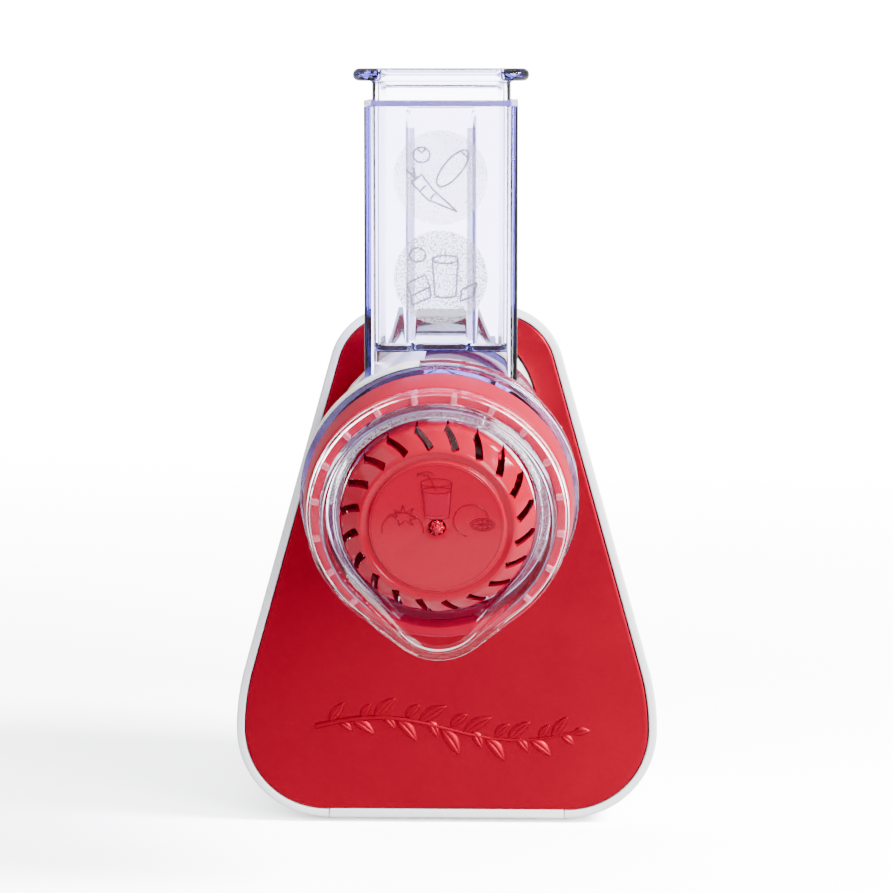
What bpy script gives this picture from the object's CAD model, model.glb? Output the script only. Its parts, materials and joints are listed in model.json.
import json
import bmesh
import bpy
import numpy as np
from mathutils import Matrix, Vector


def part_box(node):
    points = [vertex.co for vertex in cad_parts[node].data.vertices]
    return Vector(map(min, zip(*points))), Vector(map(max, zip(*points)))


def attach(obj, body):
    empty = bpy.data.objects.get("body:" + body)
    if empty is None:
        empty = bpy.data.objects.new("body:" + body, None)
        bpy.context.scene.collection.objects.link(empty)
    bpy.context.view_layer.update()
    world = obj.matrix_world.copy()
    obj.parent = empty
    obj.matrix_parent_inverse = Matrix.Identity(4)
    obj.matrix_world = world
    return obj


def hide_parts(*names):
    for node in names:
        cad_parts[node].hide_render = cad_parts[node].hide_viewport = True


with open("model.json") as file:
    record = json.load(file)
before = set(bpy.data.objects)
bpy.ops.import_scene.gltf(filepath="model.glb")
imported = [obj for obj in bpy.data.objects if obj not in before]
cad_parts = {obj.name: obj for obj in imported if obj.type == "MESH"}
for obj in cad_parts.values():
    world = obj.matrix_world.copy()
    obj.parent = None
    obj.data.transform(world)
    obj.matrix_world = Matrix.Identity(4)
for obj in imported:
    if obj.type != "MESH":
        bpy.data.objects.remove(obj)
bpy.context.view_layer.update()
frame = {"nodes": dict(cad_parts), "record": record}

# Lengths are in millimetres until a mesh is made. "Face" coordinates have y = 0 on the front
# panel's face and z = 0 on the worktop. "Axis" coordinates run across, up and forward along
# the drum's axis, which leans nose down.
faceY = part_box("front_panel")[0].y * 1000
axisTilt = np.radians(11)
axisHeight = 148.4


# ---------- points and meshes ----------

# face millimetres to row metres: (x, y + faceY, z) / 1000
def faceToRow(points):
    return (np.asarray(points, float) + [0, faceY, 0]) / 1000


# axis to face: y = -forward cos(tilt) - up sin(tilt), z = height - forward sin(tilt) + up cos(tilt)
def axisToFace(points):
    across, up, forward = np.moveaxis(np.asarray(points, float), -1, 0)
    y = -np.cos(axisTilt) * forward - np.sin(axisTilt) * up
    z = axisHeight - np.sin(axisTilt) * forward + np.cos(axisTilt) * up
    return np.stack([across, y, z], -1)


# quads (a, b), (a, b+1), (a+1, b+1), (a+1, b) of a rows by columns grid, wrapped if asked
def gridFaces(rows, columns, wrapRows, wrapColumns):
    a, b = np.meshgrid(np.arange(rows - (not wrapRows)), np.arange(columns - (not wrapColumns)),
                       indexing="ij")
    nextA, nextB = (a + 1) % rows, (b + 1) % columns
    corners = [a * columns + b, a * columns + nextB, nextA * columns + nextB, nextA * columns + b]
    return np.stack(corners, -1).reshape(-1, 4)


# a grid of points as a surface; capped ends are fans round the mean point of the end ring.
# look is a material number, one for each row, or one for each face
def surface(grid, wrapRows=False, wrapColumns=True, caps=False, look=0):
    grid = np.asarray(grid, float)
    rows, columns = grid.shape[:2]
    points = grid.reshape(-1, 3)
    faces = gridFaces(rows, columns, wrapRows, wrapColumns)
    shape = (rows - (not wrapRows), columns - (not wrapColumns))
    look = np.asarray(look)
    if look.ndim == 1:
        look = look[:shape[0], None]
    if look.ndim == 2:
        look = look[:shape[0], :shape[1]]
    looks = np.broadcast_to(look, shape).ravel()
    if caps:
        even = np.arange(0, columns - 1, 2)
        for row in (0, rows - 1):
            start = row * columns
            centre = np.full(len(even), len(points))
            fan = np.stack([centre, start + even, start + even + 1, start + (even + 2) % columns], -1)
            points = np.concatenate([points, grid[row].mean(0)[None]])
            faces = np.concatenate([faces, fan])
            looks = np.concatenate([looks, np.full(len(fan), looks[0])])
    return {"points": points, "faces": faces, "looks": looks}


# several surfaces as one mesh object: welded, faces outwards, smooth up to the given angle
def makePiece(name, surfaces, looks, body=None, nodes=(), sharp=38):
    counts = np.cumsum([0] + [len(s["points"]) for s in surfaces])
    points = np.concatenate([s["points"] for s in surfaces])
    faces = np.concatenate([s["faces"] + start for s, start in zip(surfaces, counts)])
    index = np.concatenate([s["looks"] for s in surfaces]).astype(np.int32)
    mesh = bpy.data.meshes.new(name)
    mesh.vertices.add(len(points))
    mesh.vertices.foreach_set("co", faceToRow(points).astype(np.float32).ravel())
    mesh.loops.add(faces.size)
    mesh.loops.foreach_set("vertex_index", faces.astype(np.int32).ravel())
    mesh.polygons.add(len(faces))
    mesh.polygons.foreach_set("loop_start", np.arange(0, faces.size, 4, dtype=np.int32))
    mesh.polygons.foreach_set("material_index", index)
    mesh.update(calc_edges=True)
    for look in looks:
        mesh.materials.append(look)
    tidyMesh(mesh, sharp)
    piece = bpy.data.objects.new(name, mesh)
    bpy.context.scene.collection.objects.link(piece)
    if body:
        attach(piece, body)
    if nodes:
        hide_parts(*nodes)
    return piece


def tidyMesh(mesh, sharp):
    work = bmesh.new()
    work.from_mesh(mesh)
    bmesh.ops.remove_doubles(work, verts=work.verts, dist=1e-6)
    bmesh.ops.dissolve_degenerate(work, dist=1e-7, edges=work.edges)
    bmesh.ops.recalc_face_normals(work, faces=work.faces)
    work.to_mesh(mesh)
    work.free()
    mesh.shade_smooth()
    mesh.set_sharp_from_angle(angle=np.radians(sharp))


# one mesh cut by, or joined with, others; the others are used up
def combined(base, steps, sharp=38):
    for operation, other in steps:
        modifier = base.modifiers.new("combine", "BOOLEAN")
        modifier.solver = "EXACT"
        modifier.operation = operation
        modifier.object = other
        bpy.context.view_layer.update()
        graph = bpy.context.evaluated_depsgraph_get()
        made = bpy.data.meshes.new_from_object(base.evaluated_get(graph))
        base.modifiers.clear()
        old = base.data
        base.data = made
        made.name = base.name
        bpy.data.meshes.remove(old)
        bpy.data.meshes.remove(other.data)
    tidyMesh(base.data, sharp)
    return base


# ---------- outlines ----------

# each corner replaced by the curve (1-s)^2 p1 + 2 s (1-s) corner + s^2 p2
def rounded(corners, radii, steps=5, wrap=True):
    corners = np.asarray(corners, float)
    radii = np.broadcast_to(radii, len(corners))
    s = np.linspace(0, 1, steps)[:, None]
    out = []
    for i, (corner, radius) in enumerate(zip(corners, radii)):
        if not wrap and i in (0, len(corners) - 1):
            out.append(corner[None])
            continue
        before = corners[i - 1] - corner
        after = corners[(i + 1) % len(corners)] - corner
        reach = min(radius, 0.49 * np.linalg.norm(before), 0.49 * np.linalg.norm(after))
        p1 = corner + before / max(np.linalg.norm(before), 1e-9) * reach
        p2 = corner + after / max(np.linalg.norm(after), 1e-9) * reach
        out.append((1 - s) ** 2 * p1 + 2 * s * (1 - s) * corner + s ** 2 * p2)
    return np.concatenate(out)


# points added along a polyline so that no step is longer than the given one
def spread(points, step, wrap=True):
    ends = np.roll(points, -1, 0) if wrap else points[1:]
    out = []
    for start, end in zip(points, ends):
        count = max(1, int(np.ceil(np.linalg.norm(end - start) / step)))
        out.append(start + (end - start) * (np.arange(count) / count)[:, None])
    if not wrap:
        out.append(points[-1:])
    return np.concatenate(out)


# points r (cos a, sin a) about a centre
def arc(cx, cy, r, start, end, count, last=True):
    a = np.radians(np.linspace(start, end, count, endpoint=last))
    return np.stack([cx + r * np.cos(a), cy + r * np.sin(a)], -1)


def roundRectangle(cx, cy, width, depth, radius, steps=8):
    w, d = width / 2 - radius, depth / 2 - radius
    return np.concatenate([arc(cx + sx * w, cy + sy * d, radius, a, a + 90, steps)
                           for sx, sy, a in ((1, 1, 0), (-1, 1, 90), (-1, -1, 180), (1, -1, 270))])


# a 2-D outline moved inwards along its own normals
def inset(outline, amount):
    along = np.roll(outline, -1, 0) - np.roll(outline, 1, 0)
    along /= np.maximum(np.linalg.norm(along, axis=1), 1e-9)[:, None]
    return outline + np.stack([-along[:, 1], along[:, 0]], -1) * amount


# rings of an outline along a straight way, edges rounded: inset r (1 - sin a), height r (1 - cos a)
def pillow(outline, low, high, radius, steps=4):
    a = np.linspace(0, np.pi / 2, steps)
    insets = radius * (1 - np.sin(a))
    heights = radius * (1 - np.cos(a))
    rings = [np.column_stack([inset(outline, i), np.full(len(outline), low + h)])
             for i, h in zip(insets, heights)]
    rings += [np.column_stack([inset(outline, i), np.full(len(outline), high - h)])
              for i, h in zip(insets[::-1], heights[::-1])]
    return np.array(rings)


# a profile of [radius, height] turned about the third axis: (r cos a, r sin a, height)
def turnedGrid(profile, segments):
    profile = np.asarray(profile, float)
    a = np.arange(segments) / segments * 2 * np.pi
    r = profile[:, :1]
    return np.stack([r * np.cos(a), r * np.sin(a), np.broadcast_to(profile[:, 1:], (len(r), segments))], -1)


# the same on the drum's axis, as a surface: a loop, or a solid capped at both ends; a look may be
# a rule that takes the radius and the forward place of each grid point
def onAxis(profile, segments=128, radius=0.4, steps=4, capped=False, look=0):
    if capped:
        profile = [[0.02, profile[0][1]]] + list(profile) + [[0.02, profile[-1][1]]]
    soft = rounded(profile, radius, steps, wrap=not capped)
    grid = turnedGrid(soft, segments)
    if callable(look):
        look = look(np.hypot(grid[..., 0], grid[..., 1]), grid[..., 2])
    return surface(axisToFace(grid), wrapRows=not capped, caps=capped, look=look)


# turned about the upright axis through (x, y)
def upright(profile, x, y, segments=48, radius=0.3, look=0):
    profile = [[0.02, profile[0][1]]] + list(profile) + [[0.02, profile[-1][1]]]
    grid = turnedGrid(rounded(profile, radius, 4, wrap=False), segments)
    return surface(grid + [x, y, 0], caps=True, look=look)


# turned about a front-to-back axis through (x, z), heights measured from y = start
def backward(profile, x, start, z, segments=48, radius=0.3, look=0):
    profile = [[0.02, profile[0][1]]] + list(profile) + [[0.02, profile[-1][1]]]
    grid = turnedGrid(rounded(profile, radius, 4, wrap=False), segments)
    return surface(np.stack([grid[..., 0] + x, grid[..., 2] + start, grid[..., 1] + z], -1), caps=True, look=look)


# a round bar along a path on a flat face with the given normal
def bar(path, radius, normal, sides=8, look=0):
    path = np.asarray(path, float)
    along = np.gradient(path, axis=0)
    along /= np.maximum(np.linalg.norm(along, axis=1), 1e-9)[:, None]
    across = np.cross(along, normal)
    a = np.arange(sides) / sides * 2 * np.pi
    thickness = np.broadcast_to(radius, len(path))[:, None, None]
    rings = (path[:, None] + thickness * (np.cos(a)[:, None] * across[:, None]
             + np.sin(a)[:, None] * np.asarray(normal, float)))
    return surface(rings, caps=True, look=look)


# ---------- materials ----------

def link(tree, source, socket):
    tree.links.new(source, socket)


def newNode(tree, kind, **inputs):
    node = tree.nodes.new(kind)
    for name, value in inputs.items():
        node.inputs[name.replace("_", " ")].default_value = value
    return node


# a surface whose colour and roughness drift with a coarse noise, over a fine grain in the normal
def material(name, spec):
    made = bpy.data.materials.new(name)
    made.use_nodes = True
    tree = made.node_tree
    shader = tree.nodes["Principled BSDF"]
    place = tree.nodes.new("ShaderNodeTexCoord")
    drift = newNode(tree, "ShaderNodeTexNoise", Scale=spec.get("drift", 35.0), Detail=3.0)
    grain = newNode(tree, "ShaderNodeTexNoise", Scale=spec.get("grain", 1600.0), Detail=2.0)
    link(tree, place.outputs["Object"], drift.inputs["Vector"])
    link(tree, place.outputs["Object"], grain.inputs["Vector"])
    colour = np.array(spec["colour"], float)
    mix = tree.nodes.new("ShaderNodeMix")
    mix.data_type = "RGBA"
    shade = spec.get("shade", 0.05)
    mix.inputs["A"].default_value = (*(colour * (1 - shade)), 1)
    mix.inputs["B"].default_value = (*np.clip(colour * (1 + shade), 0, 1), 1)
    link(tree, drift.outputs["Fac"], mix.inputs["Factor"])
    link(tree, mix.outputs["Result"], shader.inputs["Base Color"])
    rough = tree.nodes.new("ShaderNodeMapRange")
    rough.inputs["To Min"].default_value = spec["rough"] * 0.88
    rough.inputs["To Max"].default_value = spec["rough"] * 1.12
    link(tree, drift.outputs["Fac"], rough.inputs["Value"])
    link(tree, rough.outputs["Result"], shader.inputs["Roughness"])
    bump = newNode(tree, "ShaderNodeBump", Strength=spec.get("bump", 0.06), Distance=0.0002)
    link(tree, grain.outputs["Fac"], bump.inputs["Height"])
    link(tree, bump.outputs["Normal"], shader.inputs["Normal"])
    for socket, value in spec.get("shader", {}).items():
        shader.inputs[socket].default_value = value
    if "absorb" in spec:
        fog = newNode(tree, "ShaderNodeVolumeAbsorption", Color=(*spec["absorb"], 1), Density=spec["density"])
        output = tree.nodes["Material Output"]
        link(tree, fog.outputs["Volume"], output.inputs["Volume"])
    return made


# clear plastic with grains: opacity follows a fine noise between two thresholds
def speckled(name, colour, scale, low, high, most):
    made = material(name, {"colour": colour, "rough": 0.4, "shade": 0.03, "grain": scale, "bump": 1.0})
    tree = made.node_tree
    grain = newNode(tree, "ShaderNodeTexNoise", Scale=scale, Detail=1.0)
    place = tree.nodes.new("ShaderNodeTexCoord")
    cover = tree.nodes.new("ShaderNodeMapRange")
    for socket, value in {"From Min": low, "From Max": high, "To Min": 0.12, "To Max": most}.items():
        cover.inputs[socket].default_value = value
    link(tree, place.outputs["Object"], grain.inputs["Vector"])
    link(tree, grain.outputs["Fac"], cover.inputs["Value"])
    link(tree, cover.outputs["Result"], tree.nodes["Principled BSDF"].inputs["Alpha"])
    return made


# milky plastic with pastel bands: a ramp of pale colours over a stretched noise
def pearlMaterial():
    made = material("pearl", {"colour": (0.85, 0.86, 0.88), "rough": 0.2, "shader": {
        "Thin Film IOR": 1.6, "Thin Film Thickness": 420.0,
        "Subsurface Weight": 0.3, "Subsurface Scale": 0.004}})
    tree = made.node_tree
    bands = newNode(tree, "ShaderNodeTexNoise", Scale=28.0, Detail=1.0, Distortion=1.5)
    place = tree.nodes.new("ShaderNodeTexCoord")
    ramp = tree.nodes.new("ShaderNodeValToRGB")
    stops = ((0.3, (0.9, 0.92, 0.93)), (0.42, (0.78, 0.9, 0.93)), (0.5, (0.95, 0.93, 0.9)),
             (0.57, (1.0, 0.72, 0.62)), (0.64, (0.93, 0.88, 0.95)), (0.74, (0.92, 0.95, 0.7)))
    while len(ramp.color_ramp.elements) < len(stops):
        ramp.color_ramp.elements.new(0.5)
    for element, (position, colour) in zip(ramp.color_ramp.elements, stops):
        element.position = position
        element.color = (*colour, 1)
    link(tree, place.outputs["Object"], bands.inputs["Vector"])
    link(tree, bands.outputs["Fac"], ramp.inputs["Fac"])
    link(tree, ramp.outputs["Color"], tree.nodes["Principled BSDF"].inputs["Base Color"])
    return made


# clear plastic that doesn't throw a black shadow: shadow rays meet a lightly tinted transparency
def clearMaterial(name, spec):
    made = material(name, spec)
    tree = made.node_tree
    output = tree.nodes["Material Output"]
    path = tree.nodes.new("ShaderNodeLightPath")
    through = newNode(tree, "ShaderNodeBsdfTransparent", Color=(0.94, 0.93, 0.97, 1))
    mix = tree.nodes.new("ShaderNodeMixShader")
    link(tree, path.outputs["Is Shadow Ray"], mix.inputs["Fac"])
    link(tree, tree.nodes["Principled BSDF"].outputs["BSDF"], mix.inputs[1])
    link(tree, through.outputs["BSDF"], mix.inputs[2])
    link(tree, mix.outputs["Shader"], output.inputs["Surface"])
    return made


clearShader = {"Transmission Weight": 1.0, "IOR": 1.5}
whitePlastic = material("whitePlastic", {
    "colour": (0.8, 0.815, 0.82), "rough": 0.34, "shade": 0.02, "shader": {"Specular IOR Level": 0.35}})
innerWhite = material("innerWhite", {"colour": (0.7, 0.7, 0.68), "rough": 0.5})
redLacquer = material("redLacquer", {
    "colour": (0.28, 0.002, 0.015), "rough": 0.46, "shade": 0.05, "grain": 3200.0, "bump": 0.1,
    "shader": {"Metallic": 1.0}})
redGloss = material("redGloss", {
    "colour": (0.31, 0.0001, 0.016), "rough": 0.12, "shade": 0.03, "shader": {"Specular IOR Level": 0.2}})
redDeep = material("redDeep", {
    "colour": (0.3, 0.0001, 0.02), "rough": 0.4, "shader": {"Specular IOR Level": 0.05}})
redSoft = material("redSoft", {
    "colour": (0.34, 0.001, 0.022), "rough": 0.4, "shader": {"Specular IOR Level": 0.1}})
redInk = material("redInk", {
    "colour": (0.16, 0.001, 0.01), "rough": 0.3, "shader": {"Specular IOR Level": 0.15}})
clearPlastic = clearMaterial("clearPlastic", {
    "colour": (0.99, 0.99, 1.0), "rough": 0.015, "shade": 0.0, "bump": 0.01, "drift": 60.0,
    "absorb": (0.2, 0.15, 0.6), "density": 95.0, "shader": clearShader})
clearRim = clearMaterial("clearRim", {
    "colour": (0.99, 0.99, 1.0), "rough": 0.02, "shade": 0.0, "bump": 0.01, "drift": 60.0,
    "absorb": (0.5, 0.4, 0.75), "density": 25.0,
    "shader": {**clearShader, "IOR": 1.3, "Specular IOR Level": 0.25}})
frosted = speckled("frosted", (0.5, 0.49, 0.56), 1900.0, 0.46, 0.56, 0.62)
faintFrost = speckled("faintFrost", (0.56, 0.55, 0.62), 2200.0, 0.47, 0.62, 0.42)
etched = material("etched", {"colour": (0.22, 0.2, 0.34), "rough": 0.3, "shader": {"Alpha": 0.62}})
violetEdge = material("violetEdge", {
    "colour": (0.16, 0.12, 0.5), "rough": 0.12, "shade": 0.12, "drift": 90.0, "shader": {"Alpha": 0.72}})
violetFaint = material("violetFaint", {"colour": (0.2, 0.16, 0.5), "rough": 0.2, "shader": {"Alpha": 0.42}})
pearl = pearlMaterial()
ribLook = material("ribLook", {
    "colour": (0.8, 0.25, 0.35), "rough": 0.25, "shader": {"Alpha": 0.4, "Specular IOR Level": 0.3}})
paleRubber = material("paleRubber", {"colour": (0.68, 0.68, 0.65), "rough": 0.6})
blackRubber = material("blackRubber", {"colour": (0.02, 0.02, 0.022), "rough": 0.6})
steel = material("steel", {"colour": (0.6, 0.6, 0.62), "rough": 0.3, "shader": {"Metallic": 1.0}})
nylon = material("nylon", {"colour": (0.68, 0.64, 0.55), "rough": 0.45})


# floor and backdrop: a burnt-out white to the camera and through clear plastic (a bright colour
# plus a steady glow), a plain pale grey to everything it lights
def floorMaterial():
    made = bpy.data.materials.new("floorLook")
    made.use_nodes = True
    tree = made.node_tree
    shader = tree.nodes["Principled BSDF"]
    place = tree.nodes.new("ShaderNodeTexCoord")
    drift = newNode(tree, "ShaderNodeTexNoise", Scale=3.0, Detail=2.0)
    link(tree, place.outputs["Object"], drift.inputs["Vector"])
    path = tree.nodes.new("ShaderNodeLightPath")
    split = tree.nodes.new("ShaderNodeSeparateXYZ")
    link(tree, place.outputs["Object"], split.inputs["Vector"])
    behind = newNode(tree, "ShaderNodeMath")
    behind.operation = "GREATER_THAN"
    behind.inputs[1].default_value = 0.12
    link(tree, split.outputs["Y"], behind.inputs[0])
    through = tree.nodes.new("ShaderNodeMath")
    through.operation = "MULTIPLY"
    link(tree, behind.outputs["Value"], through.inputs[0])
    link(tree, path.outputs["Is Transmission Ray"], through.inputs[1])
    seen = tree.nodes.new("ShaderNodeMath")
    seen.operation = "MAXIMUM"
    link(tree, path.outputs["Is Camera Ray"], seen.inputs[0])
    link(tree, through.outputs["Value"], seen.inputs[1])
    tones = []
    for level in (0.55, 3.6):
        tone = tree.nodes.new("ShaderNodeMix")
        tone.data_type = "RGBA"
        tone.inputs["A"].default_value = (level * 0.99, level * 0.99, level * 0.985, 1)
        tone.inputs["B"].default_value = (level, level, level * 1.01, 1)
        link(tree, drift.outputs["Fac"], tone.inputs["Factor"])
        tones.append(tone)
    mix = tree.nodes.new("ShaderNodeMix")
    mix.data_type = "RGBA"
    link(tree, seen.outputs["Value"], mix.inputs["Factor"])
    link(tree, tones[0].outputs["Result"], mix.inputs["A"])
    link(tree, tones[1].outputs["Result"], mix.inputs["B"])
    link(tree, mix.outputs["Result"], shader.inputs["Base Color"])
    far = tree.nodes.new("ShaderNodeMapRange")
    for socket, value in {"From Min": 0.3, "From Max": 1.0, "To Min": 0.0, "To Max": 9.0}.items():
        far.inputs[socket].default_value = value
    link(tree, split.outputs["Y"], far.inputs["Value"])
    glow = tree.nodes.new("ShaderNodeMath")
    glow.operation = "MULTIPLY"
    link(tree, far.outputs["Result"], glow.inputs[0])
    link(tree, seen.outputs["Value"], glow.inputs[1])
    link(tree, glow.outputs["Value"], shader.inputs["Emission Strength"])
    shader.inputs["Emission Color"].default_value = (1, 1, 1, 1)
    shader.inputs["Roughness"].default_value = 0.8
    shader.inputs["Specular IOR Level"].default_value = 0.1
    return made


print("materials made")


# ---------- housing ----------

shellDepth = 94.0
shellWall = 2.9
panelInset = 3.2
foldRadius = 14.0
foldHeight = 172.8
bottomZ = 1.85
seamX = 42.6
buttonPlace = (0, 62)


# right half of the outline in (x, z), anticlockwise, with its outward normals
def halfOutline():
    pieces = []
    for cx, cz, r, start, end, count in ((43.55, 34, 32.15, -90, 0, 40), (-9.3, 34, 85, 0, 15.5, 16),
                                         (17.95, 162.8, 24, 15.5, 90, 40)):
        points = arc(cx, cz, r, start, end, count)
        pieces.append(np.column_stack([points, (points - [cx, cz]) / r]))
    low, high = pieces[1][-1], pieces[2][0]
    share = np.linspace(0, 1, 26)[1:-1, None]
    pieces.insert(2, low + (high - low) * share)
    return np.concatenate([pieces[0], pieces[1][1:], pieces[2], pieces[3]])


# the outline from seam to seam over the top; closed adds the flat bottom between the corners
def outline(closedBottom):
    right = halfOutline()
    left = right[::-1] * [-1, 1, -1, 1]
    top = right[-1] + (left[0] - right[-1]) * np.linspace(0, 1, 12)[1:-1, None]
    if closedBottom:
        base = left[-1] + (right[0] - left[-1]) * np.linspace(0, 1, 24)[1:-1, None]
        return np.concatenate([right, top, left, base])
    seam = np.array([[seamX, bottomZ, 0, -1]])
    return np.concatenate([seam, right, top, left, seam * [-1, 1, 1, 1]])


# how far the folded front lies back at height z: R - sqrt(R^2 - (z - fold)^2)
def foldBack(z):
    rise = np.clip(z - foldHeight, 0, foldRadius)
    return foldRadius - np.sqrt(foldRadius ** 2 - rise ** 2)


# a point of the housing: set back from the folded face, narrowed by 1 - 0.07 (y / depth)^1.5
def housingPoint(x, z, back):
    y = foldBack(z) * (1 - back / shellDepth) + back
    scale = 1 - 0.07 * (np.maximum(y, 0) / shellDepth) ** 1.5
    return np.stack([x * scale, y, bottomZ + (z - bottomZ) * scale], -1)


shellProfile = spread(rounded([[0, 0], [0, shellDepth], [shellWall, shellDepth], [shellWall, 0]],
                              [1.0, 0.3, 0.3, 0.7], 6), 6.0)
rim = outline(False)
shellGrid = housingPoint(rim[:, None, 0] - shellProfile[:, 0] * rim[:, None, 2],
                         rim[:, None, 1] - shellProfile[:, 0] * rim[:, None, 3],
                         np.broadcast_to(shellProfile[:, 1], (len(rim), len(shellProfile))))
shell = makePiece("shellSkin", [surface(shellGrid, caps=True)], [whitePlastic], "housing",
                  ["main_shell"])
buttonHole = upright([[9.4, 150], [9.4, 220]], *buttonPlace, 64, 0.01)
combined(shell, [("DIFFERENCE", makePiece("buttonHole", [buttonHole], [whitePlastic]))])

# front panel: rows run from the collar hole out to the rim, over the edge and back behind
ring = outline(True)
holeCentre = np.array([0, axisHeight + 0.6])
toRim = ring[:, :2] - panelInset * ring[:, 2:] - holeCentre
holeEdge = holeCentre + 32.4 * toRim / np.linalg.norm(toRim, axis=1)[:, None] * [1, 1.018]
normals = ring[:, 2:]
edge = ring[:, :2] - (panelInset + 0.7) * normals
rows = []
for back, grow in ((2.2, 0.0), (0.8, 0.0), (0.25, 0.1), (0.03, 0.35), (0.0, 0.7)):
    rows.append((holeEdge + grow * toRim / np.linalg.norm(toRim, axis=1)[:, None], back))
inner = rows[-1][0]
for share in np.linspace(0, 1, 46)[1:]:
    rows.append((inner + (edge - inner) * share, 0.0))
for turn in np.linspace(0, 90, 6)[1:]:
    a = np.radians(turn)
    rows.append((edge + 0.7 * np.sin(a) * normals, 0.7 * (1 - np.cos(a))))
rows.append((ring[:, :2] - panelInset * normals, 2.2))
panelGrid = np.array([housingPoint(p[:, 0], p[:, 1], np.full(len(p), back)) for p, back in rows])
panel = surface(panelGrid, wrapRows=True)


# a domed leaf lying on the panel: half width w sin(pi u)^0.8, height h (1 - v^2)^0.6 with a vein
def leaf(x, z, angle, length, width, height):
    u, v = np.meshgrid(np.linspace(0.004, 0.996, 26), np.linspace(-1, 1, 15), indexing="ij")
    half = width / 2 * np.sin(np.pi * u ** 0.85) ** 0.8
    along = u * length
    across = v * half + 0.05 * length * np.sin(np.pi * u)
    rise = height * (1 - v ** 2) ** 0.6 * np.sin(np.pi * u) ** 0.4
    rise -= 0.4 * height * np.exp(-(v / 0.16) ** 2) * np.sin(np.pi * u)
    a = np.radians(angle)
    px = x + along * np.cos(a) - across * np.sin(a)
    pz = z + along * np.sin(a) + across * np.cos(a)
    return surface(np.stack([px, 0.06 - rise, pz], -1), wrapColumns=False)


# sprig: stem z = 34.5 + 4 sin(2 pi (x + 50) / 100), leaves either side along it
sprigSpec = {"from": -47.0, "to": 46.0, "leafLength": 12.5, "leafWidth": 5.0, "height": 0.85}
stemX = np.linspace(sprigSpec["from"], sprigSpec["to"], 90)
stemZ = 34.5 + 4.0 * np.sin(2 * np.pi * (stemX + 50) / 100)
stemPath = np.column_stack([stemX, np.full(90, 0.05), stemZ])
sprig = [bar(stemPath, np.linspace(1.0, 0.45, 90), (0, 1, 0), 12)]
for k, x in enumerate(np.linspace(-42, 38, 11)):
    z = 34.5 + 4.0 * np.sin(2 * np.pi * (x + 50) / 100)
    lean = np.degrees(np.arctan(0.2513 * np.cos(2 * np.pi * (x + 50) / 100)))
    size = 1 - 0.25 * abs(k - 5) / 5
    side = 1 if k % 2 == 0 else -1
    sprig.append(leaf(x, z, lean + side * 42, sprigSpec["leafLength"] * size,
                      sprigSpec["leafWidth"] * size, sprigSpec["height"]))
    sprig.append(leaf(x + 3.4, z + 0.6, lean - side * 48, sprigSpec["leafLength"] * 0.62 * size,
                      sprigSpec["leafWidth"] * 0.8 * size, sprigSpec["height"] * 0.9))
sprig.append(leaf(45.2, 33.1, 8, 6.5, 3.4, 0.7))
makePiece("panelSkin", [panel] + sprig, [redLacquer], "housing", ["front_panel"], 50)

collarProfile = [[31.9, -9], [31.9, 8], [27.6, 8], [27.6, -3], [7.2, -3], [7.2, -9]]
makePiece("collarSkin", [onAxis(collarProfile, 144, 0.9, 6)], [whitePlastic], "housing",
          ["mount_collar"])


# a box of rounded section lofted front to back
def slab(x, z, width, height, corner, front, back, radius):
    rings = pillow(roundRectangle(x, z, width, height, corner, 6), front, back, radius)
    return surface(rings[..., [0, 2, 1]], caps=True)


baseX = seamX - 0.3
makePiece("baseSkin", [slab(0, 3.4, 2 * baseX, 3.1, 0.5, 0.05, 93.6, 0.4)], [whitePlastic],
          "housing", ["base_plate"])
footProfile = [[5.9, 0], [6.5, 0.5], [6.5, 1.8]]
footPlaces = {"front_left": (-36, 14), "front_right": (36, 14), "rear_left": (-35, 80), "rear_right": (35, 80)}
for name, (x, y) in footPlaces.items():
    makePiece("footSkin." + name, [upright(footProfile, x, y, 48, 0.4)], [paleRubber], "housing",
              ["rubber_foot_" + name])

# rear cover: the outline drawn in towards the back, then vents, screw seats and the cord inlet
coverStart = shellDepth + 0.3
coverTurn = np.linspace(0, 90, 9)
coverSteps = [(0.25, 0.0), (0.0, 0.25)]
coverSteps += [(4.2 * (1 - np.cos(np.radians(a))), 0.8 + 4.8 * np.sin(np.radians(a))) for a in coverTurn]
coverRings = []
for step, back in coverSteps:
    x = (ring[:, 0] - step * ring[:, 2]) * 0.93
    z = bottomZ + (ring[:, 1] - step * ring[:, 3] - bottomZ) * 0.93
    coverRings.append(np.stack([x, np.full(len(x), coverStart + back), z], -1))
cover = makePiece("rearCoverSkin", [surface(np.array(coverRings), caps=True)], [whitePlastic],
                  "housing", ["rear_cover"])
vents = [slab(0, 82 + row * 7, 40, 3, 1.4, 80, 120, 0.01) for row in range(7)]
screwPlaces = {"lower_left": (-52, 26), "lower_right": (52, 26),
               "upper_left": (-17, 150), "upper_right": (17, 150)}
seats = [backward([[3.9, 97.6], [3.9, 120]], x, 0, z, 32, 0.01) for x, z in screwPlaces.values()]
inlet = [backward([[6.2, 85], [6.2, 120]], 36, 0, 40, 48, 0.01)]
combined(cover, [("DIFFERENCE", makePiece("coverCut", vents + seats + inlet, [whitePlastic]))])

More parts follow.
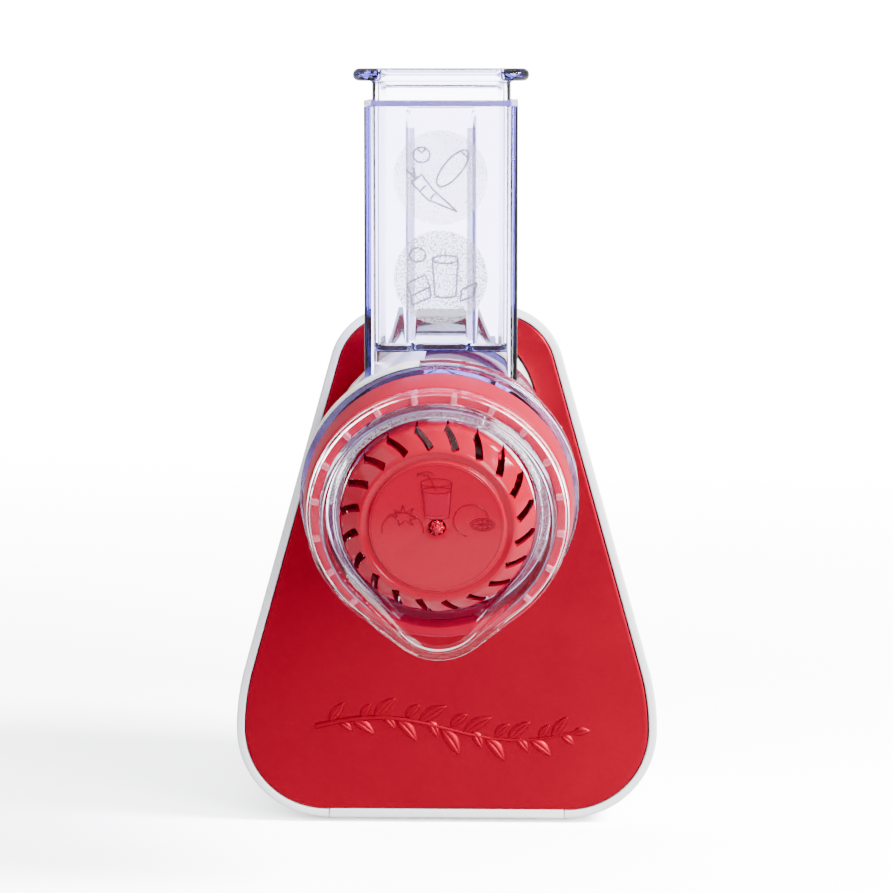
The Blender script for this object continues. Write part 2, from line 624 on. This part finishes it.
screwHead = [[3.5, 3.9], [3.5, 4.6], [2.6, 5.2]]
cross = [slab(0, 0, 4.2, 0.9, 0.2, 98.2, 101, 0.01), slab(0, 0, 0.9, 4.2, 0.2, 98.2, 101, 0.01)]
for name, (x, z) in screwPlaces.items():
    screw = backward([[1.5, -6], [1.5, 3.9]] + screwHead, x, shellDepth, z, 32, 0.15)
    head = makePiece("rearScrewSkin." + name, [screw], [steel], "housing", ["rear_screw_" + name])
    for blade in cross:
        shifted = dict(blade, points=blade["points"] + [x, 0, z])
        combined(head, [("DIFFERENCE", makePiece("blade", [shifted], [steel]))])
grommet = [[5.9, -1.8], [5.9, 6.1], [7.6, 6.1], [7.6, 8.0], [6.6, 8.6], [3.6, 8.6], [3.6, -1.8]]
grommetGrid = turnedGrid(rounded(grommet, 0.5, 4), 64)
makePiece("grommetSkin", [surface(np.stack([grommetGrid[..., 0] + 36, grommetGrid[..., 2] + shellDepth,
                                            grommetGrid[..., 1] + 40], -1), wrapRows=True)],
          [blackRubber], "housing", ["cord_inlet_grommet"])
# stem, spring seat and head, from the inside out
buttonProfile = [[3, 166], [3, 178], [6.2, 178], [6.2, 176.4], [9, 176.4], [9, 182.3]]
makePiece("startButtonSkin", [upright(buttonProfile, *buttonPlace, 64, 0.9)], [redGloss], "start_button",
          ["start_button"])
print("housing made")

# ---------- release latch ----------

latchPolar = np.array([[38.6, -33], [45.8, -32], [46, -26], [45.2, -19], [43.2, -11], [40.6, -3.2],
                       [39.6, -9], [39, -20]])
latchCorners = np.stack([latchPolar[:, 0] * np.cos(np.radians(latchPolar[:, 1])),
                         latchPolar[:, 0] * np.sin(np.radians(latchPolar[:, 1]))], -1)
latchOutline = rounded(latchCorners, [1, 1, 2, 3, 3, 0.5, 3, 3], 6)
makePiece("latchSkin", [surface(axisToFace(pillow(latchOutline, 5.4, 10, 0.7)), caps=True)],
          [whitePlastic], "release_latch", ["release_latch"])

# ---------- drum ----------

coneProfile = [[29.4, 104.2], [32.0, 104.2], [20, 24], [14.5, 18], [14.5, 8], [10.6, 8], [10.6, 22.6],
               [17.4, 26.6]]
cone = makePiece("drumSkin", [onAxis(coneProfile, 128, 0.5)], [redGloss], "drum", ["drum_body"])
# windows in staggered rows; the cone's outer radius is 20 + 12 (forward - 24) / 80
window = {"rows": 4, "around": 8, "first": 40, "pitch": 15,
          "width": 7, "height": 6.4, "corner": 1.2, "depth": 6}
windows = []
for row in range(window["rows"]):
    for k in range(window["around"]):
        forward = window["first"] + row * window["pitch"]
        reach = 20 + (forward - 24) / 80 * 12
        a = np.radians((k + row / 2) * 360 / window["around"])
        shape = roundRectangle(0, 0, window["width"], window["height"], window["corner"], 4)
        block = pillow(shape, reach - window["depth"], reach + window["depth"], 0.01)
        across = block[..., 2] * np.cos(a) - block[..., 0] * np.sin(a)
        up = block[..., 2] * np.sin(a) + block[..., 0] * np.cos(a)
        windows.append(surface(axisToFace(np.stack([across, up, block[..., 1] + forward], -1)), caps=True))
combined(cone, [("DIFFERENCE", makePiece("windowCut", windows, [redGloss]))])

noseProfile = [[31.5, 104.5], [31.6, 113.4], [31.0, 115.2], [25.7, 120.1], [24.4, 120.6], [23.4, 120.1],
               [22.2, 119.9], [21.7, 121.0], [2.7, 121.2], [2.7, 118.9], [21.6, 118.7], [24.6, 118.4],
               [29.6, 113.6], [30.1, 112.6], [30.1, 104.5]]
noseSoft = [0.3, 1.2, 1.2, 1.0, 0.6, 0.6, 0.5, 0.35, 0.3, 0.3, 1, 1, 1, 0.5, 0.3]
noseGrid = turnedGrid(spread(rounded(noseProfile, noseSoft, 6), 2.5), 240)
# the outer shoulder is drawn in a little between the slots: r (1 - 0.016 cos^2(10 (a - 9 degrees)))
noseAngle = np.arange(240) / 240 * 2 * np.pi
noseRadius = np.hypot(noseGrid[..., 0], noseGrid[..., 1])
shoulder = np.clip((noseGrid[..., 2] - 112) / 4, 0, 1) * np.clip((noseRadius - 27) / 3, 0, 1)
noseGrid[..., :2] *= (1 - 0.016 * shoulder * np.cos(10 * (noseAngle - np.radians(9))) ** 2)[..., None]
nose = makePiece("noseSkin", [surface(axisToFace(noseGrid), wrapRows=True)], [redGloss], "drum",
                 ["drum_nose"])
# slot centre line: radius 31 to 25.6, turned back by up to 9 degrees as it runs inwards
slotShare = np.linspace(0, 1, 9)
slotRadius = 31.0 - 5.4 * slotShare
slotTurn = np.radians(4.4 - 9.2 * slotShare ** 0.75)
slotLine = np.stack([slotRadius * np.cos(slotTurn), slotRadius * np.sin(slotTurn)], -1)
slotAlong = np.gradient(slotLine, axis=0)
slotAlong /= np.linalg.norm(slotAlong, axis=1)[:, None]
slotSide = np.stack([-slotAlong[:, 1], slotAlong[:, 0]], -1)
slotHalf = np.linspace(1.0, 1.3, 9)[:, None]
slotEdges = np.concatenate([slotLine + slotSide * slotHalf, (slotLine - slotSide * slotHalf)[::-1]])
slotOutline = rounded(slotEdges, 0.5, 3)
slotCount = 20
slots = []
for k in range(slotCount):
    a = np.radians((k + 0.5) * 360 / slotCount)
    turn = np.array([[np.cos(a), np.sin(a)], [-np.sin(a), np.cos(a)]])
    rings = [np.column_stack([slotOutline @ turn, np.full(len(slotOutline), t)]) for t in (107.5, 124.0)]
    slots.append(surface(axisToFace(np.array(rings)), caps=True))
combined(nose, [("DIFFERENCE", makePiece("slotCut", slots, [redGloss]))], 32)

capAngle = np.arange(96) / 96 * 2 * np.pi
capRadius = 2.2 + 0.26 * np.cos(8 * capAngle)
capOutline = np.column_stack([capRadius * np.cos(capAngle), capRadius * np.sin(capAngle)])
capRings = [np.column_stack([s * capOutline, np.full(96, t)])
            for s, t in ((0.9, 118.9), (1.0, 119.2), (1.0, 121.9), (0.93, 122.4), (0.8, 122.6), (0.66, 122.5),
                         (0.6, 123.0), (0.45, 123.4), (0.2, 123.6))]
makePiece("noseCapSkin", [surface(axisToFace(np.array(capRings)), caps=True)], [redGloss], "drum",
          ["nose_cap"])

# line pictures on the nose disc, as fine raised bars; discPath follows the disc's slight dome
discNormal = axisToFace(np.array([0.0, 0.0, 1.0])) - axisToFace(np.array([0.0, 0.0, 0.0]))


def discPath(points, wrap=False, lift=0.02):
    points = np.asarray(points, float)
    if wrap:
        points = np.concatenate([points, points[:1]])
    forward = 121.0 + 0.2 * (1 - np.hypot(points[:, 0], points[:, 1]) / 21.7) + lift
    return axisToFace(np.column_stack([points, forward]))


def ellipse(cx, cy, a, b, start=0, end=360, tilt=0, count=48):
    t = np.radians(np.linspace(start, end, count))
    c, s = np.cos(np.radians(tilt)), np.sin(np.radians(tilt))
    x, y = a * np.cos(t), b * np.sin(t)
    return np.stack([cx + x * c - y * s, cy + x * s + y * c], -1)


glassLines = [ellipse(0, 14.9, 4.9, 1.35), ellipse(0, 12.3, 4.6, 1.1), [(-4.85, 14.8), (-3.9, 3.4)],
              [(4.85, 14.8), (3.9, 3.4)], ellipse(0, 3.5, 3.9, 0.9, 180, 360),
              [(-0.2, 12.4), (-1.6, 15.5), (-2.6, 17.2), (-6.2, 18.0)], ellipse(-3.2, 16.6, 3.0, 1.9, 20, 165)]
tomatoLeaves = [(-15.2, 4.4), (-12.6, 3.4), (-13.4, 5.9), (-11.4, 4.6), (-10.8, 7.4), (-9.8, 4.9), (-7.4, 6.3),
                (-8.6, 3.8), (-6.0, 3.0), (-8.6, 2.6), (-7.4, 0.6), (-10.2, 2.2), (-12.0, 0.4), (-12.2, 2.4),
                (-15.2, 4.4)]
tomatoLines = [ellipse(-10.9, -0.8, 6.6, 5.6, -12, 192), tomatoLeaves]
citrusLines = [ellipse(10.9, 2.2, 5.6, 5.4, -40, 255),
               ellipse(14.6, 0.9, 3.9, 2.1), ellipse(14.6, 0.9, 3.2, 1.55), [(11.8, 0.9), (17.4, 0.9)],
               [(14.6, 2.4), (14.6, -0.6)], [(12.6, 2.0), (16.6, -0.2)], [(12.6, -0.2), (16.6, 2.0)]]
pictures = [bar(discPath(spread(np.asarray(p, float), 0.6, wrap=False)), 0.15, discNormal, 6, 2)
            for p in glassLines + tomatoLines + citrusLines]
juice = np.concatenate([ellipse(0, 12.2, 4.4, 1.0, 180, 360, 0, 24), [(3.75, 4.2)],
                        ellipse(0, 4.2, 3.7, 0.7, 0, -180, 0, 24)])
juiceCentre = juice.mean(0)
juiceRows = np.array([juiceCentre + (juice - juiceCentre) * s for s in (1.0, 0.97, 0.9, 0.6, 0.3, 0.02)])
juiceLift = np.array([0.0, 0.1, 0.13, 0.13, 0.13, 0.13])
juiceSheet = np.array([discPath(r, lift=l) for r, l in zip(juiceRows, juiceLift)])
pictures.append(surface(juiceSheet, look=1))
discEdge = bar(discPath(ellipse(0, 0, 20.9, 20.9, count=160)), 0.12, discNormal, 6, 0)
makePiece("nosePictures", pictures + [discEdge], [redGloss, redDeep, redInk], "drum")
print("drum made")

# ---------- locking ring ----------

ringProfile = [[43.5, 97.4], [44.2, 98.0], [42.9, 107.9], [41.5, 108.3], [41.2, 110.9], [38.4, 110.9],
               [38.1, 110.4], [38.1, 97.4]]
makePiece("ringSkin", [onAxis(ringProfile, 200, [0.4, 0.8, 0.5, 0.4, 0.5, 0.5, 0.3, 0.3], 5,
                              look=lambda r, t: ((t > 104) & (r < 42.3)).astype(int))],
          [redSoft, redDeep], "collector", ["locking_ring"])

# ---------- juice collector ----------


# hull of a circle r at the centre and a circle tip dropped below it, with steady parameters
def drop(r, tip, fall=29.7, upper=150, side=10, lower=36):
    lean = np.degrees(np.arccos((r - tip) / fall))
    top = arc(0, 0, r, -90 + lean, 270 - lean, upper)
    end = arc(0, -fall, tip, 270 - lean, 270 + lean, lower)
    share = np.linspace(0, 1, side + 2)[1:-1, None]
    down = top[-1] + (end[0] - top[-1]) * share
    back = end[-1] + (top[0] - end[-1]) * share
    return np.concatenate([top, down, end, back])


# inset amount from the outer wall, forward position, and 1 on the textured rows
collectorRows = [(0.0, 108.9, 0), (0.0, 112.6, 0), (0.2, 113.1, 0), (0.6, 113.3, 0), (1.1, 113.1, 0),
                 (1.5, 112.9, 0), (4.2, 112.9, 0), (4.5, 113.4, 0), (5.0, 113.9, 0), (5.5, 114.0, 0),
                 (6.0, 113.8, 0), (6.35, 113.3, 0), (6.5, 112.8, 1), (7.4, 112.4, 1), (8.4, 111.9, 1),
                 (9.2, 111.4, 0), (9.45, 111.0, 0), (9.5, 104.2, 0), (9.2, 103.8, 0), (8.8, 103.8, 0),
                 (8.5, 104.2, 0), (8.5, 110.2, 0), (8.2, 110.8, 0), (6.8, 111.5, 0), (5.9, 111.8, 0),
                 (1.3, 111.8, 0), (0.9, 111.4, 0), (0.8, 109.1, 0), (0.6, 108.8, 0), (0.2, 108.7, 0)]
shapes = []
for step, forward, texture in collectorRows:
    shape = drop(42.5 - step, 19.2 - 0.59 * step)
    if forward < 108.6:
        reach = np.hypot(shape[:, 0], shape[:, 1])
        shape = shape * np.minimum(1, 38.0 / reach)[:, None]
    shapes.append(axisToFace(np.column_stack([shape, np.full(len(shape), forward)])))
collectorWall = surface(np.array(shapes), wrapRows=True)
# grained band: the same drop curves, lifted 0.06 mm, for angles above -30 and below -150 degrees
lifted = [(step, forward + 0.06) for step, forward, texture in collectorRows if texture]
grainRows = [(6.4, 113.2)] + lifted + [(9.2, 111.5)]
rimShape = drop(42.5, 19.2)
band = axisToFace(np.array([
    np.column_stack([drop(42.5 - step, 19.2 - 0.59 * step), np.full(len(rimShape), forward)])
    for step, forward in grainRows]))
upperPart = np.abs(np.degrees(np.arctan2(rimShape[:, 1], rimShape[:, 0])) - 90) < 122
firstPoint = int(np.argmin(upperPart))
turned = np.roll(upperPart, -firstPoint)
band = np.roll(band, -firstPoint, 1)[:, turned]
grain = surface(band, wrapColumns=False, look=1)
ribs = []
for k in range(20):
    angle = 10.4 + 18 * k
    if 235 < angle % 360 < 305:
        continue
    a = np.radians(angle)
    block = pillow(roundRectangle(0, 0, 3.0, 1.9, 0.6, 5), 110.4, 113.2, 0.5)
    r, side = block[..., 0] + 40.0, block[..., 1]
    ribs.append(surface(axisToFace(np.stack([r * np.cos(a) - side * np.sin(a), r * np.sin(a) + side * np.cos(a),
                                             block[..., 2]], -1)), caps=True, look=2))
makePiece("collectorSkin", [collectorWall, grain] + ribs, [clearRim, frosted, ribLook], "collector",
          ["juice_collector"])
print("collector made")

# ---------- magazine: barrel, wing and feed chute ----------

chuteY = -55.0
barrelProfile = [[27.2, -2.4], [27.2, 8.4], [31, 8.4], [32.6, 12], [36, 30], [41.6, 84.4], [45.6, 85.4],
                 [45.6, 87.4], [44.9, 88.2], [44.9, 89.4], [45.6, 90.2], [45.6, 93.6], [41.4, 94.2], [41.4, 96.8]]
boreProfile = [[25, -6], [25, 9.4], [29.6, 11.4], [34, 30.4], [39.2, 80], [39.2, 100]]
barrel = makePiece("magazineSkin", [onAxis(barrelProfile, 160, 0.5, capped=True)], [clearPlastic], "magazine",
                   ["magazine_barrel", "feed_chute"])


# a level rounded rectangle about the chute's middle, at height z
def chuteRing(width, depth, corner, z):
    return np.column_stack([roundRectangle(0, chuteY, width, depth, corner, 10), np.full(40, z)])


chuteRings = [chuteRing(50.5, 43, 2.2, z) for z in (138, 190, 257.8)]
chuteBore = [chuteRing(45.9, 38.4, 1.0, z) for z in (130, 258.5)]
wingPolar = np.array([[31.6, 96], [32.4, 120], [33.6, 142], [36.5, 160], [38.4, 177], [44.3, 191], [48.3, 200],
                      [46.5, 206], [40, 207], [28, 204], [28, 180], [28, 155], [28, 130], [28, 100]])
wingCorners = np.stack([wingPolar[:, 0] * np.cos(np.radians(wingPolar[:, 1])),
                        wingPolar[:, 0] * np.sin(np.radians(wingPolar[:, 1]))], -1)
wing = surface(axisToFace(pillow(rounded(wingCorners, 3, 5), 8.6, 15.5, 0.8)), caps=True)
combined(barrel, [
    ("UNION", makePiece("chuteSolid", [surface(np.array(chuteRings), caps=True)], [clearPlastic])),
    ("DIFFERENCE", makePiece("boreSolid", [onAxis(boreProfile, 160, 0.5, capped=True)], [clearPlastic])),
    ("DIFFERENCE", makePiece("chuteBore", [surface(np.array(chuteBore), caps=True)], [clearPlastic])),
], 32)
wingPiece = makePiece("wingSkin", [wing], [pearl], "magazine")
wingBore = onAxis([[30.6, 5], [31.8, 12.2], [33.2, 20]], 160, 0.1, capped=True)
combined(wingPiece, [("DIFFERENCE", makePiece("wingBore", [wingBore], [pearl]))])
# pearly sheet over the barrel's upper left: the outer profile grown by 0.08 mm, from 98 to 172 degrees
sheetCorners = [[35.0, 26], [36, 30], [41.6, 84.4], [45.6, 85.4], [45.6, 87.4], [44.9, 88.2], [44.9, 89.4],
                [45.6, 90.2], [45.6, 93.4]]
sheetProfile = spread(rounded(sheetCorners, 0.5, 4, wrap=False), 4, wrap=False) + [0.08, 0]
sheetAngle = np.radians(np.linspace(98, 172, 60))
pearlGrid = np.stack([sheetProfile[:, :1] * np.cos(sheetAngle), sheetProfile[:, :1] * np.sin(sheetAngle),
                      np.broadcast_to(sheetProfile[:, 1:], (len(sheetProfile), 60))], -1)
makePiece("pearlSheet", [surface(axisToFace(pearlGrid), wrapColumns=False)], [pearl], "magazine")

# the chute's lip, a frame of the same section as its walls
lipLevels = [(50.5, 43, 2.2, 257.9), (50.5, 43, 2.2, 259.7), (50.1, 42.6, 2.1, 260), (46.3, 38.8, 1.1, 260),
             (45.9, 38.4, 1, 259.7), (45.9, 38.4, 1, 257.9)]
lipRings = [chuteRing(*level) for level in lipLevels]
makePiece("chuteLip", [surface(np.array(lipRings), wrapRows=True)], [violetEdge], "magazine")

# frosted roundels on the chute's front wall, with vegetable, glass and ice cube outlines
chuteFront = chuteY - 21.5
roundels = []
roundelHeights = (234.8, 202.0)
coin = turnedGrid([[0.02, 0], [15.4, 0], [15.5, 0.06], [15.4, 0.2], [0.02, 0.2]], 96)
for z in roundelHeights:
    plate = np.stack([coin[..., 0], chuteFront - coin[..., 2], z + coin[..., 1]], -1)
    roundels.append(surface(plate, caps=True))


def chuteLine(points, z, radius=0.34):
    points = spread(np.asarray(points, float), 0.8, wrap=False)
    path = np.column_stack([points[:, 0], np.full(len(points), chuteFront - 0.2), points[:, 1] + z])
    return bar(path, radius, (0, -1, 0), 8, 1)


tomato = [ellipse(-6.2, 7.4, 2.7, 2.5), [(-7.6, 9.4), (-6.2, 8.1), (-4.8, 9.4)]]
courgette = [ellipse(4.0, 3.0, 2.9, 7.4, tilt=-40), [(6.4, 8.8), (9.0, 6.6)]]
carrot = [[(-9.6, -1.6), (-6.2, 1.0), (-2.2, -4.2), (5.6, -11.2), (-4.2, -7.2), (-9.6, -1.6)],
          [(-6.6, -4.4), (-4.8, -2.6)], [(-3.4, -7.0), (-1.8, -5.2)],
          [(-8.2, -0.2), (-11.2, 2.6)], [(-8.2, -0.2), (-8.8, 3.4)]]
tumbler = [ellipse(1.6, 6.0, 4.2, 1.3), [(-2.6, 6), (-1.9, -5.5)], [(5.8, 6), (5.1, -5.5)],
           ellipse(1.6, -5.5, 3.5, 1.1, 180, 360)]
cubes = [[(-11, -2), (-5, 1), (-3.4, -3), (-9.6, -6), (-11, -2)],
         [(-9.6, -6), (-9.2, -9), (-3.2, -6.4), (-3.4, -3)], [(7, -4), (12, -1.5), (11, -6), (6.4, -7.8), (7, -4)]]
upper = tomato + courgette + carrot
lower = tumbler + cubes + [ellipse(-7.5, 7.5, 2.6, 2.3)]
icons = [chuteLine(p, roundelHeights[0]) for p in upper] + [chuteLine(p, roundelHeights[1]) for p in lower]
roundels[0]["looks"] = roundels[0]["looks"] + 2
makePiece("chuteRoundels", roundels + icons, [frosted, etched, faintFrost], "magazine")
print("magazine made")

# ---------- pusher ----------


# rounded rectangle with a groove let into its front side; equal point counts at every level
def grooved(width, depth, radius, notch, half):
    w, front, rear = width / 2, chuteY - depth / 2, chuteY + depth / 2
    floor = half - 0.5 * notch
    corners = [(w, rear), (-w, rear), (-w, front), (-half, front), (-floor, front + notch),
               (floor, front + notch), (half, front), (w, front)]
    return rounded(corners, [radius, radius, radius, 0.9, 0.9, 0.9, 0.9, radius], 8)


# levels hold height, width, depth, corner, groove depth and groove half width
outside, inside = (45.6, 38.1, 4.4), (41.6, 34.1, 3.2)
pusherLevels = [(177.6, 43.6, 36.1, 3.5, 4, 11.2), (177.15, 44.8, 37.3, 4, 4, 10.8)]
pusherLevels += [(z, *outside, notch, half) for z, notch, half in (
    (178.2, 4, 10.6), (215, 4, 10.6), (251.5, 4, 10.6), (254.5, 3, 10.8), (256.5, 0.9, 11), (257.3, 0.04, 10.6),
    (265.4, 0.04, 10.6))]
pusherLevels += [(265.9, 46, 38.5, 4.6, 0.04, 10.6), (266.2, 47.4, 39.9, 5, 0.04, 10.6)]
# the flange's edge is a half circle: half width 26.9 + 2.1 cos a, height 268.3 + 2.1 sin a
for a in np.radians(np.linspace(-90, 90, 13)):
    grow = 4.2 * np.cos(a)
    pusherLevels.append((268.3 + 2.1 * np.sin(a), 53.8 + grow, 45.8 + grow, 7 + grow / 2, 0.04, 10.6))
pusherLevels += [(270.2, 43.4, 36, 4, 0.04, 10.6), (269.4, 42, 34.4, 3.4, 0.04, 10.8)]
pusherLevels += [(z, *inside, notch, half) for z, notch, half in (
    (268.6, 0.04, 10.8), (257.6, 0.04, 10.8), (256.8, 0.9, 10.8), (254.6, 3, 11.6), (251.6, 4, 11.6), (215, 4, 11.6),
    (180.2, 4, 11.6))]
pusherLevels.append((179.4, 40.6, 33.1, 3, 4, 10.6))
pusherRings = []
for z, width, depth, radius, notch, half in pusherLevels:
    section = grooved(width, depth, radius * 1.35, notch, half)
    pusherRings.append(np.column_stack([section, np.full(len(section), z)]))
makePiece("pusherSkin", [surface(np.array(pusherRings), caps=True)], [clearPlastic], "pusher", ["pusher"],
          32)
# violet tint where the groove's side walls are seen edge on
edges = [surface(pillow(roundRectangle(side * 9.5, chuteY - 17.2, 1.9, 3.2, 0.5, 5), 181, 251, 0.4), caps=True)
         for side in (-1, 1)]
makePiece("pusherGrooveEdges", edges, [violetFaint], "pusher")
print("pusher made")

# ---------- finishes of the CAD pieces that stay in view ----------

finishes = {
    "inner_white": innerWhite, "foot_rubber": paleRubber, "black_rubber": blackRubber, "screw_steel": steel,
    "shaft_steel": steel, "nylon": nylon, "red_plastic": redGloss, "white_housing": whitePlastic,
    "lamination": material("lamination", {
        "colour": (0.12, 0.125, 0.13), "rough": 0.5, "shader": {"Metallic": 0.8}}),
    "winding": material("winding", {"colour": (0.45, 0.16, 0.05), "rough": 0.35, "shader": {"Metallic": 0.9}}),
    "bronze": material("bronze", {"colour": (0.42, 0.26, 0.1), "rough": 0.4, "shader": {"Metallic": 1.0}}),
    "black_plastic": material("blackPlastic", {"colour": (0.02, 0.02, 0.022), "rough": 0.4}),
}
for entry in frame["record"]["subparts"]:
    look = finishes.get(entry["material_slot"])
    if look:
        data = frame["nodes"][entry["node"]].data
        data.materials.clear()
        data.materials.append(look)
print("finishes set")

# ---------- floor, lights, camera ----------

# sweep in (y, z): flat to y = 900, then a quarter turn up of radius 500, then straight up
sweepPath = np.concatenate([[[-334, 0]], [[900, 0]], arc(900, 500, 500, -90, 0, 24)[1:], [[1400, 1800]]])
sweepX = np.linspace(-2600, 2600, 9)
sweepShape = (len(sweepX), len(sweepPath))
sweep = np.stack([np.broadcast_to(sweepX[:, None], sweepShape), np.broadcast_to(sweepPath[:, 0], sweepShape),
                  np.broadcast_to(sweepPath[:, 1], sweepShape)], -1)
floor = makePiece("floor", [surface(sweep, wrapColumns=False)], [floorMaterial()], sharp=60)


# an area light at a face-coordinate place, aimed at another
def areaLight(name, place, target, width, height, power, colour=(1, 1, 1)):
    data = bpy.data.lights.new(name, "AREA")
    data.shape = "RECTANGLE"
    data.size, data.size_y = width, height
    data.energy = power
    data.color = colour
    lamp = bpy.data.objects.new(name, data)
    bpy.context.scene.collection.objects.link(lamp)
    lamp.location = faceToRow(place)
    aim = Vector(faceToRow(target)) - lamp.location
    lamp.rotation_euler = aim.to_track_quat("-Z", "Y").to_euler()
    return lamp


areaLight("highRight", (900, -300, 900), (0, 0, 60), 0.4, 0.4, 50)
areaLight("keyRight", (600, -840, 380), (0, 0, 90), 0.4, 0.7, 18)
areaLight("fillLeft", (-1100, -700, 600), (0, 0, 120), 0.7, 1.0, 5)
areaLight("top", (-100, 60, 1400), (0, 0, 100), 1.2, 1.2, 5)

# world: radiance falls from the upper level to the lower one between two heights of direction
world = bpy.data.worlds.new("studio")
world.use_nodes = True
sky = world.node_tree
direction = sky.nodes.new("ShaderNodeTexCoord")
split = sky.nodes.new("ShaderNodeSeparateXYZ")
level = sky.nodes.new("ShaderNodeMapRange")
level.interpolation_type = "SMOOTHSTEP"
for socket, value in {"From Min": -0.3, "From Max": 0.1, "To Min": 0.12, "To Max": 1.1}.items():
    level.inputs[socket].default_value = value
link(sky, direction.outputs["Generated"], split.inputs["Vector"])
link(sky, split.outputs["Z"], level.inputs["Value"])
link(sky, level.outputs["Result"], sky.nodes["Background"].inputs["Strength"])
sky.nodes["Background"].inputs["Color"].default_value = (0.95, 0.97, 1.0, 1)
bpy.context.scene.world = world

cameraData = bpy.data.cameras.new("camera")
cameraData.lens = 125.6
cameraData.sensor_width = 36
camera = bpy.data.objects.new("camera", cameraData)
bpy.context.scene.collection.objects.link(camera)
camera.location = faceToRow((28, -1100, 269.8))
aim = Vector(faceToRow((0, 0, 136.8))) - camera.location
camera.rotation_euler = aim.to_track_quat("-Z", "Y").to_euler()
bpy.context.scene.camera = camera
print("floor, lights and camera set")
